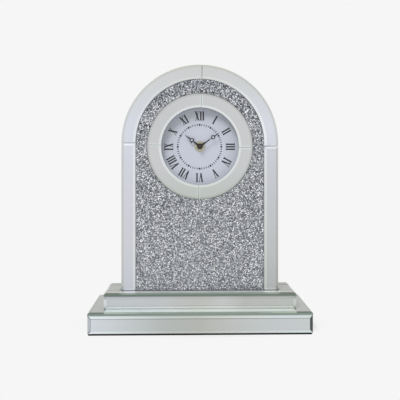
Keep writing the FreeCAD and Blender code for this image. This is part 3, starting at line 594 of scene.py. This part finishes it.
finishes = {
    lower_top_glass: ("lower_top_mirror",),
    upper_top_glass: ("upper_top_mirror_left", "upper_top_mirror_rear", "upper_top_mirror_right"),
    upper_top_front_glass: ("upper_top_mirror_front",),
    lower_front_glass: ("lower_front_mirror",),
    upper_front_glass: ("upper_front_mirror",),
    left_glass: ("lower_side_mirror_left", "upper_side_mirror_left"),
    right_glass: ("lower_side_mirror_right", "upper_side_mirror_right"),
    silver_board: ("arch_body",),
    black_board: ("arch_back_board", "lower_core", "upper_core"),
    foam(): ("base_pad",),
    dial_material: ("dial_plate",),
    brass: ("fixing_nut",),
    bronze: ("hand_nut",),
    hand_black: ("hour_hand", "minute_hand"),
    case_black: ("movement_case", "movement_cover"),
    knob_black: ("setting_knob",),
    acetal: (
        "centre_wheel", "hour_wheel", "intermediate_wheel", "minute_arbor", "motion_wheel",
        "seconds_wheel", "setting_pinion", "third_wheel",
    ),
    ferrite: ("rotor",),
    steel: ("stator", "coil_core", "quartz_crystal"),
    wound_copper(): ("coil",),
    circuit(): ("circuit_board",),
    plated: ("negative_contact", "positive_contact"),
    cell_jacket(): ("aa_cell",),
}
softened_edges = {
    lower_top_glass: plate_edge, upper_top_glass: plate_edge, upper_top_front_glass: plate_edge,
    lower_front_glass: plate_edge, upper_front_glass: plate_edge, left_glass: plate_edge,
    right_glass: plate_edge, silver_board: board_edge, black_board: board_edge, hand_black: hand_edge,
    brass: metal_edge, bronze: metal_edge, knob_black: knob_edge,
}


def soften(obj, depth):
    """Takes that depth off the sharp edges, as polishing or moulding does: little at a corner, and a wide
    line at a shallow crease."""
    weld = obj.modifiers.new("joined_corners", "WELD")
    weld.merge_threshold = weld_reach
    bevel = obj.modifiers.new("softened_edges", "BEVEL")
    bevel.offset_type = "DEPTH"
    bevel.width = depth
    bevel.segments = 2
    bevel.limit_method = "ANGLE"
    bevel.angle_limit = math.radians(softened_angle)
    obj.modifiers.new("even_shading", "WEIGHTED_NORMAL")


for material, names in finishes.items():
    for name in names:
        for material_slot in nodes[name].material_slots:
            material_slot.material = material
        if material in softened_edges:
            soften(nodes[name], softened_edges[material])


# Meshes

def finish_mesh(name, vertices, faces, material, sharp_angle, replaced=()):
    """A mesh piece with outward faces, smooth up to that angle in degrees, riding on the clock's body."""
    mesh = bpy.data.meshes.new(name)
    mesh.from_pydata(vertices, [], faces)
    work = bmesh.new()
    work.from_mesh(mesh)
    bmesh.ops.recalc_face_normals(work, faces=work.faces)
    for face in work.faces:
        face.smooth = True
    for edge in work.edges:
        edge.smooth = edge.is_manifold and edge.calc_face_angle() < math.radians(sharp_angle)
    work.to_mesh(mesh)
    work.free()
    mesh.materials.append(material)
    obj = bpy.data.objects.new(name, mesh)
    bpy.context.scene.collection.objects.link(obj)
    if replaced:
        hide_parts(*replaced)
    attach(obj, "clock")
    return obj


def grid_faces(rows, columns):
    return [
        (r * columns + c, r * columns + c + 1, (r + 1) * columns + c + 1, (r + 1) * columns + c)
        for r in range(rows - 1) for c in range(columns - 1)
    ]


def rim_faces(rows, columns, offset):
    """The band of faces that joins the border of a front grid to that of a back grid."""
    border = [(0, c) for c in range(columns)] + [(r, columns - 1) for r in range(1, rows)]
    border += [(rows - 1, c) for c in range(columns - 2, -1, -1)] + [(r, 0) for r in range(rows - 2, 0, -1)]
    marks = [r * columns + c for r, c in border]
    return [(a, b, b + offset, a + offset) for a, b in zip(marks, marks[1:] + marks[:1])]


def glass_strip(name, front, back, rows, columns, material, replaced):
    """A closed strip of glass from the points of its front and of its back, row by row."""
    offset = len(front)
    faces = grid_faces(rows, columns)
    faces += [tuple(v + offset for v in reversed(face)) for face in faces]
    faces += rim_faces(rows, columns, offset)
    obj = finish_mesh(name, front + back, faces, material, strip_crease_angle, [replaced])
    soften(obj, strip_edge)


def glass_arc(name, centre, inner, outer, start, end, bevel, material, replaced):
    """A curved strip of bevelled glass between two angles, counted from the right and upwards."""
    middle = (inner + outer) / 2
    gap = math.degrees(joint_gap / 2 / middle)
    bevel_angle = math.degrees(bevel * end_bevel_share / middle)
    start, end = start + gap, end - gap
    count = round((end - start - 2 * bevel_angle) / arc_step)
    inside = [start + bevel_angle + (end - start - 2 * bevel_angle) * i / count for i in range(count + 1)]
    angles = [start, *inside, end]
    radii = [inner, inner + bevel, outer - bevel, outer]
    front, back = [], []
    for i, angle in enumerate(angles):
        way = Vector((math.cos(math.radians(angle)), 0, math.sin(math.radians(angle))))
        for j, radius in enumerate(radii):
            on_rim = i in (0, len(angles) - 1) or j in (0, len(radii) - 1)
            point = Vector((centre[0], 0, centre[1])) + way * radius
            front.append(point + Vector((0, face_y + (strip_drop if on_rim else 0), 0)))
            back.append(point + Vector((0, board_y, 0)))
    glass_strip(name, front, back, len(angles), len(radii), material, replaced)


def glass_leg(name, bevel, material, replaced):
    """A straight strip of bevelled glass that ends square on the plinth."""
    low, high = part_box(replaced)
    columns = [low[0], low[0] + bevel, high[0] - bevel, high[0]]
    rows = [low[2], high[2] - bevel, high[2]]
    front, back = [], []
    for i, z in enumerate(rows):
        for j, x in enumerate(columns):
            on_rim = i == len(rows) - 1 or j in (0, len(columns) - 1)
            front.append(Vector((x, face_y + (strip_drop if on_rim else 0), z)))
            back.append(Vector((x, board_y, z)))
    glass_strip(name, front, back, len(rows), len(columns), material, replaced)


def frame_strips():
    """The two legs and the two halves of the arch, which meet left of the crown and below the centre."""
    glass_leg("leg_glass_left", frame_bevel, front_glass, "side_mirror_left")
    glass_leg("leg_glass_right", frame_bevel, right_leg_painted_reflection_glass, "side_mirror_right")
    middle = half_width - frame_width / 2
    crown = 90 - math.degrees(crown_shift / middle)
    right_end = -math.degrees(right_joint_drop / middle)
    ring = ((0.0, arch_z), half_width - frame_width, half_width)
    glass_arc("arch_glass_left", *ring, crown, 180, frame_bevel, front_glass, "arch_mirror_left")
    glass_arc("arch_glass_right", *ring, right_end, crown, frame_bevel, front_glass, "arch_mirror_right")


def bezel_strips():
    """The four quarters of the ring round the dial."""
    ring = ((0.0, dial_z), bezel_outer - bezel_width, bezel_outer)
    for quarter, place in enumerate(("upper_right", "upper_left", "lower_left", "lower_right")):
        first_angle = 90 * quarter + bezel_turn
        glass_arc(f"bezel_glass_{place}", *ring, first_angle, first_angle + 90, bezel_bevel, bezel_glass,
                  f"bezel_mirror_{place}")


frame_strips()
bezel_strips()


# Crushed glass
random.seed(chip_seed)


def in_field(x, z, margin):
    """True inside the frame and outside the bezel, with that margin, and with less of it at the foot."""
    if math.hypot(x, z - dial_z) < bezel_outer + margin:
        return False
    if z > arch_z:
        return math.hypot(x, z - arch_z) < panel_radius - margin
    return abs(x) < panel_radius - margin and z > panel_low[2] + margin * chip_foot_share


def chip_points(at, size):
    """Five corners of a splinter of glass, thrown down at a random slant."""
    spin = Matrix.Rotation(random.uniform(0, math.tau), 3, "Y")
    slant = Matrix.Rotation(random.uniform(-chip_slant, chip_slant), 3, "X")
    slant = slant @ Matrix.Rotation(random.uniform(-chip_slant, chip_slant), 3, "Z")
    length = size * random.uniform(*chip_lengths)
    width = size * random.uniform(*chip_widths)
    depth = size * random.uniform(*chip_depths)
    corners = [(-length, 0, 0), (length, 0, 0), (0, 0, -width), (0, 0, width), (0, -depth, 0)]
    made = []
    for corner in corners:
        rough = Vector([value * random.uniform(*chip_corners) for value in corner])
        across = random.uniform(-chip_skew_across, chip_skew_across) * size
        skew = Vector((across, 0, random.uniform(-chip_skew_up, chip_skew_up) * size))
        made.append(at + spin @ (slant @ (rough + skew)))
    return made


chip_faces = [(0, 2, 4), (2, 1, 4), (1, 3, 4), (3, 0, 4), (3, 2, 0), (2, 3, 1)]


def painted_frame_shadow(x, z):
    """How much painted shadow of the frame darkens a chip, most of all below the arch's upper left."""
    if z < arch_z:
        return painted_edge_shadow * max(0.0, 1 - (panel_radius - abs(x)) / painted_edge_shadow_reach)
    reach = math.hypot(x, z - arch_z)
    gap = panel_radius - reach
    upper_left = max(0.0, (z - arch_z - x) / reach / math.sqrt(2))
    shade = painted_edge_shadow * max(0.0, 1 - gap / painted_edge_shadow_reach)
    return shade + painted_arch_shadow * upper_left * max(0.0, 1 - gap / painted_arch_shadow_reach)


def chip_shade(x, z):
    """How light a chip is, from 0 to 1: mostly dark or light at random, with painted light low down, painted
    shade high up and painted shadow near the frame.
    """
    height_share = (z - panel_low[2]) / (panel_high[2] - panel_low[2])
    shade = random.betavariate(chip_contrast, chip_contrast)
    shade += painted_foot_light * (even_height - height_share) - painted_frame_shadow(x, z)
    return min(max(shade, 0.0), 1.0)


def keep_in_field(point, x, z):
    """Moves a corner of a chip at x and z into the panel's depth, and back where it passes the border."""
    point.y = min(max(point.y, chip_top_y), board_y)
    if not in_field(point.x, point.z, bed_clearance):
        point.x += (x - point.x) * chip_pull_back
        point.z += (z - point.z) * chip_pull_back


def crushed_glass():
    """Thousands of slanted splinters in staggered rows, each kept within the panel's depth."""
    vertices, faces, shades = [], [], []
    rows = int((panel_high[2] - panel_low[2]) / chip_spacing) + 1
    columns = int(2 * panel_radius / chip_spacing) + 1
    for row in range(rows):
        for column in range(columns):
            x = -panel_radius + (column + (row % 2) / 2 + random.uniform(-0.5, 0.5)) * chip_spacing
            z = panel_low[2] + (row + random.uniform(-0.5, 0.5)) * chip_spacing
            if not in_field(x, z, chip_margin):
                continue
            size = chip_size * random.uniform(*chip_sizes)
            level = chip_top_y + bed_rise * random.uniform(*chip_levels)
            points = chip_points(Vector((x, level, z)), size)
            for point in points:
                keep_in_field(point, x, z)
            faces += [tuple(v + len(vertices) for v in face) for face in chip_faces]
            vertices += points
            shades += [chip_shade(x, z)] * len(points)
    obj = finish_mesh(
        "crushed_glass_chips", vertices, faces, chips_material, sharp_angle=1.0,
    )
    # The shade attribute holds each chip's random tone with its painted light and shadow.
    attribute = obj.data.attributes.new("shade", "FLOAT", "POINT")
    attribute.data.foreach_set("value", shades)


def bed_outlines():
    """The border of the bed, and its hole for the bezel."""
    arc = [math.pi * i / arc_sides for i in range(arc_sides + 1)]
    border = [Vector((math.cos(a), 0, math.sin(a))) * panel_radius + Vector((0, 0, arch_z)) for a in arc]
    border = [Vector((panel_radius, 0, panel_low[2])), *border, Vector((-panel_radius, 0, panel_low[2]))]
    turns = [math.tau * i / hole_sides for i in range(hole_sides)]
    radius = bezel_outer + bed_clearance
    hole = [Vector((math.cos(a), 0, math.sin(a))) * radius + Vector((0, 0, dial_z)) for a in turns]
    return border, hole


def add_loop(work, points):
    """A closed line of edges through the points."""
    corners = [work.verts.new(point) for point in points]
    for a, b in zip(corners, corners[1:] + corners[:1]):
        work.edges.new((a, b))


def add_plate(work):
    """The bed itself, from its face back to the board."""
    for outline in bed_outlines():
        add_loop(work, outline)
    bmesh.ops.triangle_fill(work, use_beauty=True, use_dissolve=False, edges=work.edges[:])
    back = bmesh.ops.extrude_face_region(work, geom=work.faces[:])
    moved = [item for item in back["geom"] if isinstance(item, bmesh.types.BMVert)]
    bmesh.ops.translate(work, verts=moved, vec=(0, board_y, 0))
    for vert in work.verts:
        if vert not in moved:
            vert.co.y = chip_top_y + bed_rise


def add_sill(work):
    """The thicker foot of the bed, which fills the groove behind the top mirror."""
    depth = board_y - chip_top_y
    middle = Vector((0, chip_top_y + depth / 2, (sill_low + sill_high) / 2))
    sill = Matrix.LocRotScale(middle, None, Vector((2 * panel_radius, depth, sill_high - sill_low)))
    bmesh.ops.create_cube(work, size=1.0, matrix=sill)


def glass_bed():
    """The silver bed that the chips are set in."""
    mesh = bpy.data.meshes.new("glass_bed")
    work = bmesh.new()
    add_plate(work)
    add_sill(work)
    bmesh.ops.recalc_face_normals(work, faces=work.faces)
    work.to_mesh(mesh)
    work.free()
    mesh.materials.append(bed_material)
    obj = bpy.data.objects.new("glass_bed", mesh)
    bpy.context.scene.collection.objects.link(obj)
    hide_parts("crushed_glass_panel")
    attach(obj, "clock")


crushed_glass()
glass_bed()


# Dial printing

def raised(outline, rise, vertices, faces):
    """Adds a flat shape, given anticlockwise as seen from the front, standing on the dial."""
    base = len(vertices)
    count = len(outline)
    vertices += [Vector((x, dial_y - rise, z)) for x, z in outline]
    vertices += [Vector((x, dial_y, z)) for x, z in outline]
    faces.append(tuple(base + i for i in range(count)))
    faces += [(base + i, base + (i + 1) % count, base + count + (i + 1) % count, base + count + i)
              for i in range(count)]


def on_dial(bearing, across, radius):
    """Where a printed point lies: across to the right of a spoke and that far from the print's middle."""
    x = across * math.cos(bearing) + radius * math.sin(bearing)
    z = radius * math.cos(bearing) - across * math.sin(bearing)
    return print_shift_x + x, dial_z + print_shift_z + z


def upright_stroke(x, width):
    half = numeral_height / 2
    return [(x - width / 2, -half), (x + width / 2, -half), (x + width / 2, half), (x - width / 2, half)]


def slanted_stroke(x_low, x_high, width):
    half = numeral_height / 2
    lean = width * math.hypot(x_high - x_low, numeral_height) / numeral_height / 2
    return [(x_low - lean, -half), (x_low + lean, -half), (x_high + lean, half), (x_high - lean, half)]


def serif(x, width, side):
    """A thin bar across the head of a stroke, or across its foot where side is -1."""
    half = numeral_height / 2
    reach = width / 2 + serif_overhang
    foot = half - serif_height
    outline = [(x - reach, half), (x - reach, foot), (x + reach, foot), (x + reach, half)]
    if side > 0:
        return outline
    return [(px, -pz) for px, pz in reversed(outline)]


def letter_i(x):
    shapes = [upright_stroke(x, thick_stroke)]
    return shapes + [serif(x, thick_stroke, side) for side in (1, -1)]


def letter_v(x):
    """A thick stroke down to the foot from the left and a thin one from the right."""
    reach = 0.5 * letter_widths["V"] - serif_overhang - thick_stroke / 2
    shapes = [slanted_stroke(x, x - reach, thick_stroke), slanted_stroke(x, x + reach, thin_stroke)]
    return shapes + [serif(x - reach, thick_stroke, 1), serif(x + reach, thin_stroke * 2, 1)]


def letter_x(x):
    """A thick stroke from the upper left and a thin one from the upper right."""
    reach = 0.5 * letter_widths["X"] - serif_overhang - thick_stroke / 2
    shapes = [slanted_stroke(x + reach, x - reach, thick_stroke)]
    shapes.append(slanted_stroke(x - reach, x + reach, thin_stroke))
    ends = [(x - reach, thick_stroke, 1), (x + reach, thick_stroke, -1)]
    ends += [(x + reach, thin_stroke * 2, 1), (x - reach, thin_stroke * 2, -1)]
    return shapes + [serif(*end) for end in ends]


letters = {"I": letter_i, "V": letter_v, "X": letter_x}
hours = ("XII", "I", "II", "III", "IV", "V", "VI", "VII", "VIII", "IX", "X", "XI")


def numeral(word, hour, vertices, faces):
    """One numeral, its foot towards the dial's centre. Strokes that cross differ a little in height."""
    bearing = math.radians(30 * hour)
    across = sum(letter_widths[letter] for letter in word)
    x = -across / 2
    for letter in word:
        middle = x + letter_widths[letter] / 2
        for order, outline in enumerate(letters[letter](middle)):
            placed = [on_dial(bearing, px, numeral_radius + pz) for px, pz in outline]
            raised(placed, print_rise * (1 + stroke_step * order), vertices, faces)
        x += letter_widths[letter]


def numerals():
    vertices, faces = [], []
    for hour, word in enumerate(hours):
        numeral(word, hour, vertices, faces)
    finish_mesh("dial_numerals", vertices, faces, numeral_ink, sharp_angle=30.0)


def mark_points(bearing, reach_across, reach_along, size_share, rise_share):
    """A ring of points round a mark on the minute track."""
    points = []
    for i in range(mark_sides):
        angle = math.tau * i / mark_sides
        aside = reach_across * size_share * math.cos(angle)
        along = (reach_along - reach_across) * (1 if math.sin(angle) > 0 else -1)
        along += reach_across * size_share * math.sin(angle)
        x, z = on_dial(bearing, aside, track_radius + along)
        points.append(Vector((x, dial_y - print_rise * rise_share, z)))
    return points


def minute_marks(name, reach_across, reach_along, minutes, material):
    """Rounded printed marks, longer towards the centre where so sized, and slightly domed."""
    vertices, faces = [], []
    for minute in minutes:
        first = len(vertices)
        for shares in mark_rings:
            vertices += mark_points(math.tau * minute / 60, reach_across, reach_along, *shares)
        last = len(vertices) - mark_sides
        for start in range(first, last, mark_sides):
            for i in range(mark_sides):
                a, b = start + i, start + (i + 1) % mark_sides
                faces.append((a, b, b + mark_sides, a + mark_sides))
        faces.append(tuple(range(last, last + mark_sides)))
    finish_mesh(name, vertices, faces, material, sharp_angle=60.0)


numerals()
between_hours = [minute for minute in range(60) if minute % 5]
minute_marks("dial_five_minute_dots", hour_dot_radius, hour_dot_radius, range(0, 60, 5), numeral_ink)
minute_marks("dial_minute_marks", minute_mark_radius, minute_mark_reach, between_hours, dot_ink)


# Floor, light and camera

def floor():
    """A large plain floor that keeps the object's shadow near it and reads as the backdrop further away."""
    mesh = bpy.data.meshes.new("floor")
    corners = [(-floor_reach, -floor_reach, 0), (floor_reach, -floor_reach, 0),
               (floor_reach, floor_reach, 0), (-floor_reach, floor_reach, 0)]
    mesh.from_pydata(corners, [], [(0, 1, 2, 3)])
    obj = bpy.data.objects.new("floor", mesh)
    bpy.context.scene.collection.objects.link(obj)
    mesh.materials.append(floor_finish())


def floor_finish():
    """A matt near-white that turns into an even glow away from the clock."""
    finish = Finish("floor", specular_ior_level=0.0, roughness=1.0)
    finish.colour(finish.noise(3.0), "Fac", [(0.3, tone(243, 243, 243)), (0.7, tone(245, 245, 245))])
    glow = finish.node("ShaderNodeEmission")
    glow.inputs["Color"].default_value = backdrop_tone
    plan = finish.node("ShaderNodeMapping")
    plan.inputs["Scale"].default_value = lit_floor_stretch
    finish.join(finish.place(), "Object", plan, "Vector")
    distance = finish.node("ShaderNodeVectorMath", operation="LENGTH")
    finish.join(plan, "Vector", distance, "Vector")
    span = finish.share(distance, "Value", *lit_floor)
    span.interpolation_type = "SMOOTHSTEP"
    mix = finish.node("ShaderNodeMixShader")
    finish.join(span, "Result", mix, "Fac")
    finish.tree.links.new(finish.shader.outputs["BSDF"], mix.inputs[1])
    finish.tree.links.new(glow.outputs["Emission"], mix.inputs[2])
    finish.join(mix, "Shader", finish.tree.nodes["Material Output"], "Surface")
    return finish.material


def clamped_sum(tree, first, second):
    """An output with the sum of two outputs, at most 1."""
    adder = tree.nodes.new("ShaderNodeMath")
    adder.operation = "ADD"
    adder.use_clamp = True
    tree.links.new(first, adder.inputs[0])
    tree.links.new(second, adder.inputs[1])
    return adder.outputs[0]


def backdrop():
    """White where the camera or a mirror sees it, and a plainer light on everything else."""
    world = bpy.data.worlds.new("backdrop")
    world.use_nodes = True
    tree = world.node_tree
    tree.nodes.clear()
    seen = tree.nodes.new("ShaderNodeBackground")
    seen.inputs["Color"].default_value = backdrop_tone
    lighting = tree.nodes.new("ShaderNodeBackground")
    lighting.inputs["Strength"].default_value = world_strength
    path = tree.nodes.new("ShaderNodeLightPath")
    shown = clamped_sum(tree, path.outputs["Is Camera Ray"], path.outputs["Is Glossy Ray"])
    shown = clamped_sum(tree, shown, path.outputs["Is Transmission Ray"])
    mix = tree.nodes.new("ShaderNodeMixShader")
    tree.links.new(shown, mix.inputs[0])
    tree.links.new(lighting.outputs[0], mix.inputs[1])
    tree.links.new(seen.outputs[0], mix.inputs[2])
    out = tree.nodes.new("ShaderNodeOutputWorld")
    tree.links.new(mix.outputs[0], out.inputs["Surface"])
    bpy.context.scene.world = world


def area_light(name, place, target, size, power):
    """A square light that mirrors don't show, with its side in metres and its power in watts."""
    light = bpy.data.lights.new(name, "AREA")
    light.size = size
    light.energy = power
    obj = bpy.data.objects.new(name, light)
    obj.location = place
    obj.rotation_euler = (Vector(target) - Vector(place)).to_track_quat("-Z", "Y").to_euler()
    bpy.context.scene.collection.objects.link(obj)
    obj.visible_glossy = False


def camera():
    """Level camera slightly left of the middle, as in the photograph, with the lens shifted down."""
    lens = bpy.data.cameras.new("camera")
    lens.lens = camera_lens
    lens.sensor_width = camera_sensor
    lens.shift_y = camera_shift
    lens.clip_start = nearest_seen
    obj = bpy.data.objects.new("camera", lens)
    obj.location = camera_place
    obj.rotation_euler = (math.radians(90), 0, math.radians(camera_turn))
    bpy.context.scene.collection.objects.link(obj)
    bpy.context.scene.camera = obj


floor()
backdrop()
area_light("key", place=(-0.5, -0.75, 1.5), target=(0, 0, 0.22), size=0.5, power=14.5)
area_light("fill", place=(1.3, -1.1, 0.8), target=(0, 0, 0.2), size=1.4, power=2.0)
area_light("rear", place=(-0.4, 1.5, 1.2), target=(0, 0, 0.2), size=1.2, power=3.0)
camera()
bpy.context.scene.view_settings.view_transform = "Standard"
